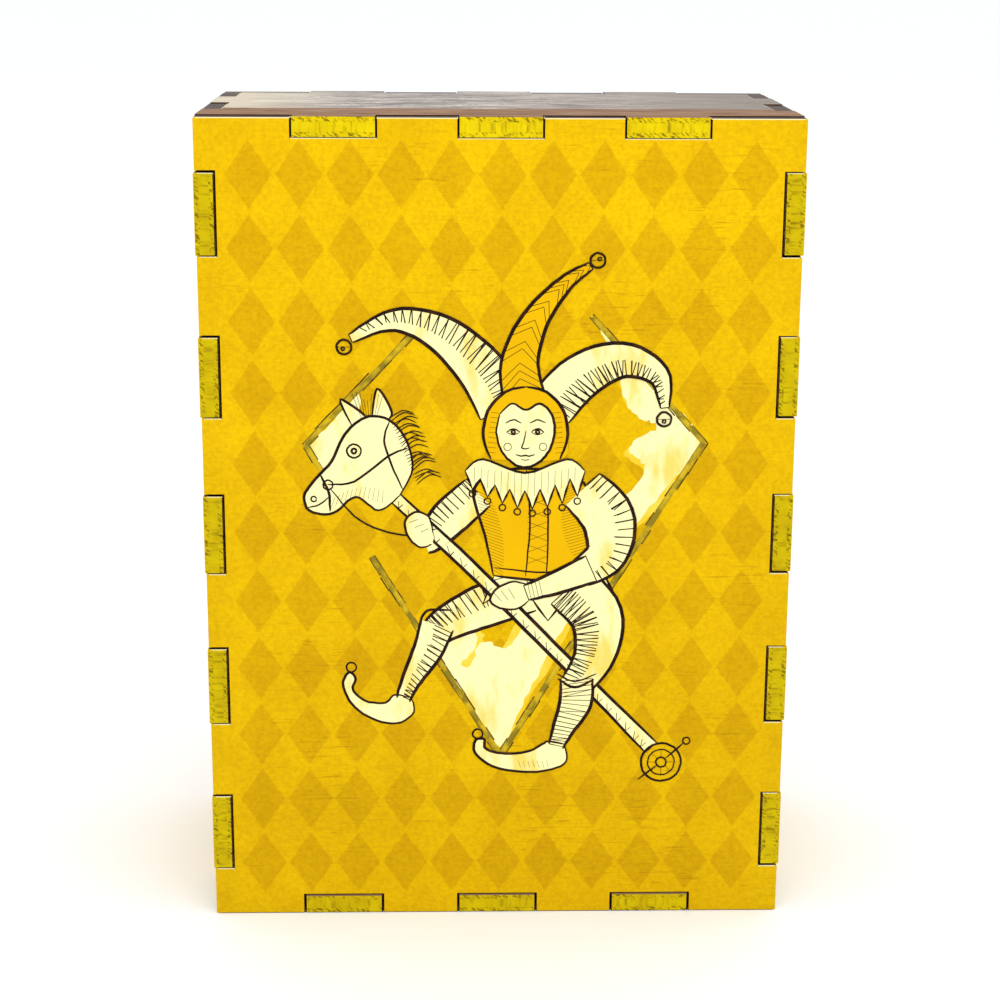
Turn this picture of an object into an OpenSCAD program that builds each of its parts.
// Jack in the box: a finger-jointed plywood case with a hinged lid, a jester on a coil spring,
// and a hand-cranked musical movement whose cam lifts a rod to let the lid go.
// Millimetres. Origin: middle of the case's base. The front faces -Y, +X is right, +Z is up.

/* [Case] */
// Width of the front panel
case_w = 110; // [108:1:116]
// Depth over the front and back panels
case_d = 61; // [61:1:64]
// Height of the front panel's fingers
case_h = 154.5; // [154:0.5:158]
// Thickness of the plywood
ply = 3.7; // [3.5:0.1:3.8]
// Width of one finger of the corner joints
finger = 15; // [14:0.5:15]
// Gap cut on each side of a finger
kerf = 0.2; // [0.16:0.02:0.24]
// Distance that the side panels stand out past the front panel's edges
side_proud = 0.25; // [0.1:0.05:0.3]
// Height of the shelf's underside above the base
shelf_z = 40; // [39.5:0.5:41]

/* [Lid] */
// Height of the lid's top above the panels' fingers
lid_proud = 0.2; // [0.1:0.1:0.5]
// Distance of each hinge from the middle
hinge_x = 30; // [29:0.5:31]
// Width of each hinge
hinge_w = 13; // [11:1:14]
// Radius of the hinge pins
hinge_pin_r = 0.8; // [0.7:0.05:0.9]

/* [Jack] */
// Distance of the jack's axis behind the middle of the case
jack_y = -2; // [-2:0.5:-1]
// Radius of the wooden head
head_r = 17; // [16:0.5:17]
// Height of the head's centre
head_z = 109; // [109:0.5:110]
// Radius of the coil spring, to the middle of its wire
spring_r = 12; // [10:0.5:12]
// Number of turns of the coil spring
spring_turns = 9; // [7:1:10]

/* [Crank and movement] */
// Height of the crank shaft
crank_z = 31; // [30.5:0.5:31.5]
// Length of the crank arm between its two holes
arm_l = 20; // [16:1:20]
// Gear module
gear_mod = 0.8; // [0.75:0.05:0.8]
// Teeth on the crank's pinion
pinion_teeth = 12; // [12:1:12]
// Teeth on the cylinder's wheel
wheel_teeth = 36; // [36:1:36]
// Radius of the pinned cylinder
drum_r = 6; // [5:0.5:6]

/* [Hidden] */

$fn = 48;
running = 0.05; // radial clearance of a shaft in its bore
past = 1; // how far a cut runs past the surface it opens
peg_play = 0.03; // radial clearance of a glued peg in its hole

// Case
y_out = case_d / 2;
y_in = y_out - ply;
x_out = case_w / 2 + side_proud;
x_in = x_out - ply;
side_tabs = 5;
side_tab_z = (case_h - (2 * side_tabs - 1) * finger) / 2;
side_tab_sit = 0.12; // how far the left panel sits low and the right panel sits high in its notches
edge_tab_x = [-2.5 * finger, -0.5 * finger, 1.5 * finger]; // left ends of the lid's and bottom's front and back tabs
deep_tab_y = [-y_in, 0]; // front ends of the lid's and bottom's side tabs
deep_tab_end = [-finger, finger]; // and their back ends
shelf_top = shelf_z + ply;
cleat = 6;

// Lid and hinges
lid_z = case_h + lid_proud - ply;
lid_gap = 0.1; // below the lid's tabs
lid_side_gap = 0.25;
lid_front_gap = 0.15;
lid_back_gap = 1.25; // the recessed back edge swings down past the back panel's fingers
tab_relief = [0.22, 0.5]; // the side tabs' back ends swing past the side panels' fingers
leaf_t = 0.6;
knuckle_r = 1.6;
hinge_y = y_out + 1.9;
hinge_z = lid_z - leaf_t / 2;
hinge_play = 0.2;
leaf_h = 11;
leaf_screw_x = 4;
leaf_screw_r = 0.7;
leaf_screw_head = [1.4, 0.5];
lid_screw_y = 23;
box_screw_z = hinge_z - 7.4;
catch_at = [39, -23.4];
catch_r = 3;
catch_top = 149.4;

// Jack
board_r = 20;
board_h = 3;
board_top = shelf_top + board_h;
wire_r = 0.8;
spring_low = board_top + wire_r;
coil_gap = 2.1 * wire_r; // rise of the first and of the last turn
neck_z = 84;
neck_r = 14;
neck_h = 3;
spring_high = neck_z - wire_r;
post_r = 3.5;
post_h = 17;
ruff_z = 89;
ruff_h = 3;
ruff_r = 20.5;
crown_in = head_r + 0.1;
crown_out = head_r + 1.8;
horn_base = crown_out + 0.5; // distance of a horn's flat base from the head's centre
bell_r = 3.2;
head_at = [0, jack_y, head_z];
eye_r = 1.5;
eye_x = 5.6;
eye_up = 2.5;
eye_face = sqrt(head_r * head_r - eye_x * eye_x - eye_up * eye_up); // head's surface in front of its centre, at the eyes
nose_r = 2.6;
nose_down = 2.5;
nose_peg_r = 1.2;
nose_out = sqrt(pow(head_r + nose_r + 0.05, 2) - nose_down * nose_down);

// Rod
rod_r = 1.25;
rod_x = -40;
rod_y = -19.5;
foot_z = 32.5;
rod_top = lid_z - 0.3;
guide_z = 136;

// Movement
shaft_r = 1.5;
gear_gap = gear_mod * (pinion_teeth + wheel_teeth) / 2;
gear_lean = 30; // angle of the line of centres below level
arbor_x = -gear_gap * cos(gear_lean);
arbor_z = crank_z - gear_gap * sin(gear_lean);
bed_h = 2;
bed_top = ply + bed_h;
bed_x = [-40, 13];
bed_y = [-17, 24];
bed_screw_x = [-37, 10];
bed_screw_y = [-14, 21];
plate_x = [-32.5, 7];
plate_top = 37.2;
plate_t = 2.5;
front_plate_y = -16;
rear_plate_y = 20.5;
pillars = [[-29.5, 34], [-29.5, 9], [4, 9.5]];
drum_y = [-11, 13];
wheel_y = 15.5;
wheel_t = 3;
cam_y = -21;
cam_t = 3;
comb_teeth = 18;
comb_pitch = 1.22;
comb_t = 0.8;
comb_tip = arbor_x - drum_r - 0.6;
comb_root = comb_tip - 9;
comb_end = -39.5;
comb_low = arbor_z - comb_t / 2;
comb_screw_y = [-5, 7];
block_in = -33;
bush_r = 3;
arm_y = y_out + 2.5;
arm_t = 2;
knob_y = arm_y + arm_t + 0.3;
knob_l = 15;
knob_z = crank_z - arm_l;
knob_pin_r = 1.25;

// ---- helpers ----

// A flat outline in X and Z made into an upright sheet whose front face is at y
module upright(y, t) {
  translate([0, y + t, 0]) rotate([90, 0, 0]) linear_extrude(t) children();
}

// A flat outline in Y and Z made into a sheet whose left face is at x
module sideways(x, t) {
  translate([x, 0, 0]) rotate([90, 0, 90]) linear_extrude(t) children();
}

// A cylinder along Y from y0 to y1
module rod_y(x, z, r, y0, y1) {
  translate([x, y1, z]) rotate([90, 0, 0]) cylinder(r = r, h = y1 - y0);
}

// A cylinder along X from x0 to x1
module rod_x(y, z, r, x0, x1) {
  translate([x0, y, z]) rotate([0, 90, 0]) cylinder(r = r, h = x1 - x0);
}

module box_between(a, b) {
  translate(a) cube(b - a);
}

function unit(v) = v / norm(v);
function bend(p, t) = // a point on the cubic curve through four guide points
  pow(1 - t, 3) * p[0] + 3 * pow(1 - t, 2) * t * p[1] + 3 * (1 - t) * t * t * p[2] + pow(t, 3) * p[3];
function along(p, i) = unit(p[min(i + 1, len(p) - 1)] - p[max(i - 1, 0)]);

// A round bar through the points of path, with its own radius at each point
module swept(path, radii, sides, across) {
  rings = len(path);
  points = [
    for (i = [0 : rings - 1])
      let (t = along(path, i), u = unit(cross(t, across)), v = cross(u, t))
      for (k = [0 : sides - 1]) path[i] + radii[i] * (cos(360 * k / sides) * u + sin(360 * k / sides) * v)
  ];
  walls = [
    for (i = [0 : rings - 2], k = [0 : sides - 1])
      let (a = i * sides + k, b = i * sides + (k + 1) % sides) [a, b, b + sides, a + sides]
  ];
  start_cap = [[for (k = [sides - 1 : -1 : 0]) k]];
  end_cap = [[for (k = [0 : sides - 1]) (rings - 1) * sides + k]];
  polyhedron(points, concat(start_cap, walls, end_cap), convexity = 6);
}

// A horn or a sleeve: a bar that tapers along a curve
module tapered(guide, r0, r1, steps, sides, across) {
  path = [for (i = [0 : steps]) bend(guide, i / steps)];
  radii = [for (i = [0 : steps]) r0 + (r1 - r0) * i / steps];
  swept(path, radii, sides, across);
}

// Outline of a gear with straight-sided teeth, one of them centred on angle 0
function gear_outline(teeth) =
  let (
    pitch_r = gear_mod * teeth / 2,
    half = gear_mod * 180 / 4 * PI / 180 * 0.8,
    tip = pitch_r + 0.75 * gear_mod,
    root = pitch_r - 0.95 * gear_mod,
    slope = 0.35
  )
  [
    for (i = [0 : teeth - 1], c = [
      [root, -(half + (pitch_r - root) * slope)], [tip, -(half - (tip - pitch_r) * slope)],
      [tip, half - (tip - pitch_r) * slope], [root, half + (pitch_r - root) * slope]
    ])
      let (a = 360 * i / teeth + c[1] / c[0] * 180 / PI) c[0] * [cos(a), sin(a)]
  ];

// ---- case ----

module edge_notches(low, high) {
  for (x = edge_tab_x) translate([x - kerf, low]) square([finger + 2 * kerf, high - low]);
}

module face_outline() {
  difference() {
    translate([-case_w / 2, 0]) square([case_w, case_h]);
    for (side = [0, 1], i = [0 : side_tabs - 1])
      mirror([side, 0]) translate([x_in - kerf, side_tab_z + 2 * i * finger - kerf])
        square([ply + past, finger + 2 * kerf]);
    edge_notches(lid_z - lid_gap, case_h + past);
    edge_notches(-past, ply + kerf);
  }
}

module front_panel() {
  color("#f5c800") upright(-y_out, ply) face_outline();
}

module back_panel() {
  color("#f5c800") upright(y_in, ply) difference() {
    face_outline();
    for (x = [-hinge_x, hinge_x]) {
      translate([x - hinge_w / 2 - hinge_play, hinge_z - leaf_t / 2 - lid_gap])
        square([hinge_w + 2 * hinge_play, leaf_t + lid_gap]);
      for (dx = [-leaf_screw_x, leaf_screw_x]) translate([x + dx, box_screw_z]) circle(r = leaf_screw_r);
    }
    translate([0, crank_z]) circle(r = bush_r);
  }
}

module side_outline(sit) {
  difference() {
    union() {
      translate([-y_in, 0]) square([2 * y_in, case_h]);
      for (i = [0 : side_tabs - 1])
        translate([-y_out, side_tab_z + 2 * i * finger + sit]) square([case_d, finger]);
    }
    for (i = [0, 1]) {
      translate([deep_tab_y[i] - (i == 0 ? past : 0), lid_z - lid_gap])
        square([deep_tab_end[i] - deep_tab_y[i] + (i == 0 ? past : 0), ply + past]);
      translate([deep_tab_y[i] - (i == 0 ? past : kerf), -past])
        square([deep_tab_end[i] - deep_tab_y[i] + kerf + (i == 0 ? past : kerf), ply + kerf + past]);
    }
  }
}

module left_panel() {
  color("#efc000") sideways(-x_out, ply) side_outline(-side_tab_sit);
}

module right_panel() {
  color("#efc000") sideways(x_in, ply) side_outline(side_tab_sit);
}

module bottom_panel() {
  color("#d8b878") difference() {
    linear_extrude(ply) union() {
      translate([-x_in, -y_in]) square([2 * x_in, 2 * y_in]);
      for (x = edge_tab_x) translate([x, -y_out]) square([finger, case_d]);
      for (i = [0, 1]) translate([-case_w / 2, deep_tab_y[i]]) square([case_w, deep_tab_end[i] - deep_tab_y[i]]);
    }
    for (x = bed_screw_x, y = bed_screw_y) translate([x, y, 1]) cylinder(r = 1, h = ply);
  }
}

module shelf() {
  color("#d8b878") difference() {
    box_between([-x_in, -y_in, shelf_z], [x_in, y_in, shelf_top]);
    translate([rod_x, rod_y, shelf_z - past]) cylinder(r = rod_r + running, h = ply + 2 * past);
  }
}

module shelf_cleats() {
  color("#c8a05c") for (side = [0, 1]) mirror([side, 0, 0])
    box_between([x_in - cleat, -y_in, shelf_z - cleat], [x_in, y_in, shelf_z]);
}

// ---- lid and hinges ----

module lid_panel() {
  color("#a89a98") difference() {
    translate([0, 0, lid_z]) linear_extrude(ply) union() {
      translate([-x_in + lid_side_gap, -y_in + lid_front_gap])
        square([2 * (x_in - lid_side_gap), 2 * y_in - lid_front_gap - lid_back_gap]);
      for (x = edge_tab_x) translate([x, -y_out]) square([finger, case_d]);
      for (i = [0, 1])
        translate([-case_w / 2, deep_tab_y[i] + lid_front_gap])
          square([case_w, deep_tab_end[i] - deep_tab_y[i] - lid_front_gap - tab_relief[i]]);
    }
    for (x = [-hinge_x, hinge_x], dx = [-leaf_screw_x, leaf_screw_x])
      translate([x + dx, lid_screw_y, lid_z - past]) cylinder(r = leaf_screw_r, h = 2.5 + past);
  }
}

module hinge_box_leaves() {
  third = hinge_w / 6;
  color("goldenrod") for (x = [-hinge_x, hinge_x]) translate([x, 0, 0]) difference() {
    union() {
      box_between([-hinge_w / 2, y_out, hinge_z - leaf_h], [hinge_w / 2, y_out + leaf_t, hinge_z - 1.9]);
      for (side = [0, 1]) mirror([side, 0, 0]) {
        box_between([third, y_out, hinge_z - 2.5], [hinge_w / 2, y_out + leaf_t, hinge_z]);
        rod_x(hinge_y, hinge_z, knuckle_r, third, hinge_w / 2);
      }
    }
    rod_x(hinge_y, hinge_z, hinge_pin_r, -hinge_w, hinge_w);
    for (dx = [-leaf_screw_x, leaf_screw_x]) rod_y(dx, box_screw_z, leaf_screw_r, y_in, y_out + ply);
  }
}

module hinge_lid_leaves() {
  third = hinge_w / 6 - hinge_play;
  color("goldenrod") for (x = [-hinge_x, hinge_x]) translate([x, 0, 0]) difference() {
    union() {
      box_between([-hinge_w / 2, lid_screw_y - 3, lid_z - leaf_t], [hinge_w / 2, y_out - hinge_play, lid_z]);
      box_between([-third, y_out - ply, lid_z - leaf_t], [third, hinge_y, lid_z]);
      rod_x(hinge_y, hinge_z, knuckle_r, -third, third);
    }
    rod_x(hinge_y, hinge_z, hinge_pin_r + running, -hinge_w, hinge_w);
    for (dx = [-leaf_screw_x, leaf_screw_x])
      translate([dx, lid_screw_y, lid_z - past]) cylinder(r = leaf_screw_r, h = 2 * past);
  }
}

module hinge_pins() {
  color("darkgoldenrod") for (x = [-hinge_x, hinge_x])
    rod_x(hinge_y, hinge_z, hinge_pin_r, x - hinge_w / 2 - 0.5, x + hinge_w / 2 + 0.5);
}

// A small slotted screw whose head stands on z = 0 and whose shank points down
module leaf_screw() {
  difference() {
    cylinder(r = leaf_screw_head[0], h = leaf_screw_head[1]);
    rotate(35) translate([0, 0, leaf_screw_head[1]]) cube([4, 0.35, 0.5], center = true);
  }
  translate([0, 0, -leaf_t - 2.5]) cylinder(r = leaf_screw_r, h = leaf_t + 2.5);
}

module hinge_box_screws() {
  color("goldenrod") for (x = [-hinge_x, hinge_x], dx = [-leaf_screw_x, leaf_screw_x])
    translate([x + dx, y_out + leaf_t, box_screw_z]) rotate([-90, 0, 0]) leaf_screw();
}

module hinge_lid_screws() {
  color("goldenrod") for (x = [-hinge_x, hinge_x], dx = [-leaf_screw_x, leaf_screw_x])
    translate([x + dx, lid_screw_y, lid_z - leaf_t]) rotate([180, 0, 0]) leaf_screw();
}

module catch_block() {
  color("#c8a05c") difference() {
    box_between([catch_at[0] - 7, -y_in, catch_top - 9], [catch_at[0] + 7, -y_in + 6.8, catch_top]);
    translate([catch_at[0], catch_at[1], catch_top - 2]) cylinder(r = catch_r, h = 2 + past);
  }
}

module catch_magnet() {
  color("silver") translate([catch_at[0], catch_at[1], catch_top - 2]) cylinder(r = catch_r, h = 2.7);
}

module catch_plate() {
  color("silver") box_between([catch_at[0] - 5, -y_in + 0.4, lid_z - leaf_t], [catch_at[0] + 5, -y_in + 6.4, lid_z]);
}

// ---- jack ----

module spring_board() {
  color("#c8a05c") translate([0, jack_y, shelf_top]) cylinder(r = board_r, h = board_h);
}

// Three wire staples over the bottom turn of the spring, each between it and the turn above
module spring_staples() {
  leg = 0.35;
  reach = 2;
  color("silver") translate([0, jack_y, board_top]) for (turn = [120, 210, 300]) rotate([0, 0, turn]) {
    bar_z = 2 * wire_r + coil_gap * turn / 360 + 0.15 + leg;
    for (dr = [-reach, reach]) translate([spring_r + dr, 0, 0]) cylinder(r = leg, h = bar_z);
    translate([spring_r - reach, 0, bar_z]) rotate([0, 90, 0]) cylinder(r = leg, h = 2 * reach);
    for (dr = [-reach, reach]) translate([spring_r + dr, 0, bar_z]) sphere(r = leg);
  }
}

// A helix whose first and last turns lie flat against the board and the neck
module jack_spring() {
  steps = 20;
  rings = spring_turns * steps;
  flat = 1 / spring_turns;
  rise = spring_high - spring_low - 2 * coil_gap;
  path = [
    for (i = [0 : rings])
      let (
        t = i / rings,
        open = min(max((t - flat) / (1 - 2 * flat), 0), 1),
        lift = min(t / flat, 1) + min(max((t - 1 + flat) / flat, 0), 1)
      )
      [spring_r * cos(360 * i / steps), jack_y + spring_r * sin(360 * i / steps),
       spring_low + rise * open + coil_gap * lift]
  ];
  color("lightgray") swept(path, [for (p = path) wire_r * 0.98], 8, [0, 0, 1]);
}

// Cloth sleeve round the spring, tied under the neck
module tunic() {
  color("#a5342c") translate([0, jack_y, 0]) rotate_extrude() polygon([
    [17, board_top + 0.4], [22, board_top + 0.4], [21.5, 62], [18, 74], [13.6, 81.5],
    [13.2, 81.5], [15, 74], [15, 62]
  ]);
}

module neck_post() {
  color("#c8a05c") translate([0, jack_y, neck_z]) {
    cylinder(r = neck_r, h = neck_h);
    cylinder(r = post_r, h = post_h);
  }
}

module ruff() {
  color("ivory") translate([0, jack_y, ruff_z]) difference() {
    cylinder(r = ruff_r, h = ruff_h);
    translate([0, 0, -past]) cylinder(r = post_r + peg_play, h = ruff_h + 2 * past);
  }
}

module ruff_bells() {
  small = 1.7;
  color("gold") for (turn = [22.5 : 45 : 360])
    translate([0, jack_y, ruff_z + ruff_h / 2]) rotate([0, 0, turn]) translate([ruff_r + small, 0, 0]) sphere(r = small);
}

module eye_pegs(r, front) {
  for (x = [-eye_x, eye_x]) rod_y(x, head_z + eye_up, r, jack_y - eye_face - front, jack_y - eye_face + 3 + r - eye_r);
}

module head() {
  color("#e8b98c") difference() {
    translate(head_at) sphere(r = head_r);
    translate([0, jack_y, neck_z]) cylinder(r = post_r + peg_play, h = post_h + 0.2);
    eye_pegs(eye_r + peg_play, 3);
    rod_y(0, head_z - nose_down, nose_peg_r + peg_play, jack_y - head_r - past, jack_y - head_r + 4 + peg_play);
  }
}

// Ball nose on a peg
module nose() {
  color("firebrick") {
    translate([0, jack_y - nose_out, head_z - nose_down]) sphere(r = nose_r);
    rod_y(0, head_z - nose_down, nose_peg_r, jack_y - nose_out, jack_y - head_r + 4);
  }
}

// Peg eyes, with their ends just proud of the face
module eyes() {
  color("black") eye_pegs(eye_r, 0.9);
}

module cap_crown() {
  color("#2f6d5c") translate(head_at) intersection() {
    difference() {
      sphere(r = crown_out);
      sphere(r = crown_in);
    }
    rotate([-18, 0, 0]) translate([-25, -25, 6]) cube([50, 50, 25]);
  }
}

function horn_guide(dir, knee, tip_in, tip) =
  [head_at + horn_base * unit(dir), head_at + knee, head_at + tip_in, head_at + tip];
right_horn = horn_guide([1, 0, 1.75], [15, 0, 24.5], [28, -1, 26], [31.5, -2, 13]);
left_horn = [for (p = right_horn) [-p[0], p[1], p[2]]];
front_horn = horn_guide([0, -0.4, 1], [0, -11, 30], [0, -19, 29], [0, -19.6, 20.5]);

module cap_horns() {
  color("#a5342c") tapered(right_horn, 6.4, 1.3, 12, 20, [0, 1, 0]);
  color("#d9a514") tapered(left_horn, 6.4, 1.3, 12, 20, [0, 1, 0]);
  color("#2f6d5c") tapered(front_horn, 5.6, 1.2, 12, 20, [1, 0, 0]);
}

module jingle_bell(at) {
  translate(at) difference() {
    sphere(r = bell_r);
    sphere(r = bell_r - 0.5);
    translate([0, 0, -bell_r]) cube([2 * bell_r + past, 0.9, 2.6], center = true);
  }
}

module cap_bells() {
  color("gold") {
    jingle_bell(right_horn[3] - [0, 0, bell_r + 0.3]);
    jingle_bell(left_horn[3] - [0, 0, bell_r + 0.3]);
    jingle_bell(front_horn[3] - [0, 0, bell_r + 0.3]);
  }
}

right_arm = [[neck_r + 0.3, jack_y, 85.3], [20, jack_y, 86], [24, jack_y - 1, 79], [26.5, jack_y - 3, 67]];

module sleeves() {
  color("#2f6d5c") tapered(right_arm, 2.7, 3.8, 8, 14, [0, 1, 0]);
  color("#2f6d5c") tapered([for (p = right_arm) [-p[0], p[1], p[2]]], 2.7, 3.8, 8, 14, [0, 1, 0]);
}

module hands() {
  color("#e8b98c") for (side = [-1, 1]) translate([side * 27.6, jack_y - 3.6, 61.6]) {
    sphere(r = 4.2);
    translate([-side * 2.4, -2.8, 1]) sphere(r = 1.7);
  }
}

// ---- release rod ----

// One bent wire: its foot lies over the cam and its top is just under the lid
module release_rod() {
  color("silver") {
    translate([rod_x, rod_y, foot_z]) cylinder(r = rod_r, h = rod_top - foot_z);
    translate([rod_x, rod_y, foot_z]) sphere(r = rod_r);
    rod_x(rod_y, foot_z, rod_r, rod_x, arbor_x + 2);
  }
}

module rod_guide() {
  color("#c8a05c") difference() {
    box_between([-x_in, -y_in, guide_z], [rod_x + 4, rod_y + 4, guide_z + 8]);
    translate([rod_x, rod_y, guide_z - past]) cylinder(r = rod_r + running, h = 8 + 2 * past);
  }
}

// ---- musical movement ----

module bedplate() {
  color("darkgray") difference() {
    box_between([bed_x[0], bed_y[0], ply], [bed_x[1], bed_y[1], bed_top]);
    for (x = bed_screw_x, y = bed_screw_y) translate([x, y, ply - past]) cylinder(r = 1, h = bed_h + 2 * past);
  }
}

module bedplate_screws() {
  color("silver") for (x = bed_screw_x, y = bed_screw_y) translate([x, y, 1]) {
    cylinder(r = 1, h = bed_top - 1);
    translate([0, 0, bed_top - 1]) difference() {
      cylinder(r = 2.1, h = 1.3);
      translate([0, 0, 1.2]) cube([6, 0.6, 1], center = true);
    }
  }
}

module movement_plate(y) {
  color("#b8913a") upright(y, plate_t) difference() {
    translate([plate_x[0], bed_top]) square([plate_x[1] - plate_x[0], plate_top - bed_top]);
    translate([0, crank_z]) circle(r = shaft_r + running);
    translate([arbor_x, arbor_z]) circle(r = shaft_r + running);
  }
}

module front_plate() { movement_plate(front_plate_y); }
module rear_plate() { movement_plate(rear_plate_y); }

module plate_pillars() {
  color("#b8913a") for (p = pillars) rod_y(p[0], p[1], 1.8, front_plate_y + plate_t, rear_plate_y);
}

module comb_block() {
  color("darkgray") difference() {
    box_between([comb_end, drum_y[0], bed_top], [block_in, drum_y[1], comb_low]);
    for (y = comb_screw_y) translate([-36, y, comb_low - 6]) cylinder(r = 1, h = 6 + past);
  }
}

// Steel comb: its teeth get longer towards the bass end
module comb() {
  low_y = (drum_y[0] + drum_y[1] - comb_teeth * comb_pitch) / 2;
  color("slategray") translate([0, 0, comb_low]) linear_extrude(comb_t) difference() {
    translate([comb_end, low_y]) square([comb_tip - comb_end, comb_teeth * comb_pitch]);
    for (i = [1 : comb_teeth - 1])
      translate([comb_root + 3 * i / comb_teeth, low_y + i * comb_pitch - 0.15]) square([20, 0.3]);
    for (y = comb_screw_y) translate([-36, y]) circle(r = 1);
  }
}

module comb_screws() {
  color("silver") for (y = comb_screw_y) translate([-36, y, comb_low - 5]) {
    cylinder(r = 1, h = 5 + comb_t);
    translate([0, 0, 5 + comb_t]) difference() {
      cylinder(r = 1.8, h = 1.1);
      rotate(20) translate([0, 0, 1.1]) cube([5, 0.5, 1], center = true);
    }
  }
}

// Pinned cylinder: two tune pins for each tooth of the comb
module drum() {
  low_y = (drum_y[0] + drum_y[1] - comb_teeth * comb_pitch) / 2;
  color("#c9a13b") difference() {
    union() {
      rod_y(arbor_x, arbor_z, drum_r, drum_y[0], drum_y[1]);
      for (i = [0 : comb_teeth - 1], k = [0, 1])
        translate([arbor_x, low_y + (i + 0.5) * comb_pitch, arbor_z]) rotate([0, i * 137 + k * 163, 0])
          translate([0, 0, drum_r - 0.3]) cylinder(r = 0.25, h = 0.75);
    }
    rod_y(arbor_x, arbor_z, shaft_r, drum_y[0] - past, drum_y[1] + past);
  }
}

module drum_arbor() {
  color("silver") rod_y(arbor_x, arbor_z, shaft_r, cam_y - 1, rear_plate_y + plate_t + 1);
}

module drum_wheel() {
  color("#c9a13b") upright(wheel_y, wheel_t) translate([arbor_x, arbor_z]) difference() {
    rotate(gear_lean + 180 / wheel_teeth) polygon(gear_outline(wheel_teeth));
    circle(r = shaft_r);
    for (turn = [0 : 90 : 270]) rotate(turn + 45) translate([8, 0]) circle(r = 3);
  }
}

module drive_pinion() {
  color("#c9a13b") upright(wheel_y - 1, wheel_t + 2) translate([0, crank_z]) difference() {
    rotate(gear_lean + 180) polygon(gear_outline(pinion_teeth));
    circle(r = shaft_r);
  }
}

// A round cam with one lobe, which passes under the rod's foot once a turn
module release_cam() {
  color("#c9a13b") upright(cam_y, cam_t) translate([arbor_x, arbor_z]) difference() {
    union() {
      circle(r = 5.5);
      rotate(160) {
        translate([7.5, 0]) circle(r = 1.9);
        polygon([[0, -5], [7.5, -1.9], [7.5, 1.9], [0, 5]]);
      }
    }
    circle(r = shaft_r);
  }
}

// ---- crank ----

module crank_bush() {
  color("#c9a13b") difference() {
    union() {
      rod_y(0, crank_z, bush_r, y_in, y_out);
      rod_y(0, crank_z, bush_r + 1.5, y_out, y_out + 1);
    }
    rod_y(0, crank_z, shaft_r + running, y_in - past, y_out + 2 * past);
  }
}

module crank_shaft() {
  color("silver") rod_y(0, crank_z, shaft_r, front_plate_y - 1.5, arm_y + arm_t + 1.5);
}

module crank_arm() {
  color("#c9a13b") upright(arm_y, arm_t) difference() {
    union() {
      translate([0, crank_z]) circle(r = 4);
      translate([0, knob_z]) circle(r = 3.2);
      translate([-2.4, knob_z]) square([4.8, arm_l]);
    }
    translate([0, crank_z]) circle(r = shaft_r);
    translate([0, knob_z]) circle(r = knob_pin_r);
  }
}

module crank_nut() {
  color("#c9a13b") difference() {
    union() {
      translate([0, arm_y + arm_t + 2.2, crank_z]) rotate([90, 0, 0]) cylinder(r = 3, h = 2.2, $fn = 6);
      intersection() {
        translate([0, arm_y + arm_t + 2.2, crank_z]) sphere(r = 2.3);
        box_between([-5, arm_y + arm_t + 1, crank_z - 5], [5, arm_y + arm_t + 6, crank_z + 5]);
      }
    }
    rod_y(0, crank_z, shaft_r, arm_y, arm_y + arm_t + 1.5);
  }
}

module knob_pin() {
  color("silver") {
    rod_y(0, knob_z, 2, arm_y - 0.6, arm_y);
    rod_y(0, knob_z, knob_pin_r, arm_y, knob_y + knob_l + 0.2);
    rod_y(0, knob_z, 2.2, knob_y + knob_l + 0.2, knob_y + knob_l + 1.2);
  }
}

// Turned knob: a narrow foot, a waist and a round crown
module crank_knob() {
  color("firebrick") translate([0, knob_y, knob_z]) rotate([-90, 0, 0]) rotate_extrude() difference() {
    union() {
      translate([0, 0]) square([3.4, 2]);
      polygon([[0, 2], [3.4, 2], [2.7, 4.4], [4.6, 6.4], [0, 6.4]]);
      intersection() {
        translate([0, 9]) circle(r = 6);
        translate([0, 5.2]) square([7, knob_l - 5.2]);
      }
    }
    translate([-10, -past]) square([10 + knob_pin_r + running, knob_l + 2 * past]);
  }
}

front_panel();
back_panel();
left_panel();
right_panel();
bottom_panel();
shelf();
shelf_cleats();
hinge_box_leaves();
hinge_pins();
hinge_box_screws();
catch_block();
catch_magnet();
rod_guide();
bedplate();
front_plate();
rear_plate();
plate_pillars();
bedplate_screws();
comb_block();
comb();
comb_screws();
crank_bush();
spring_board();
spring_staples();
jack_spring();
tunic();
lid_panel();
hinge_lid_leaves();
hinge_lid_screws();
catch_plate();
neck_post();
ruff();
ruff_bells();
head();
nose();
eyes();
cap_crown();
cap_horns();
cap_bells();
sleeves();
hands();
release_rod();
crank_shaft();
drive_pinion();
crank_arm();
crank_nut();
knob_pin();
crank_knob();
drum();
drum_arbor();
drum_wheel();
release_cam();
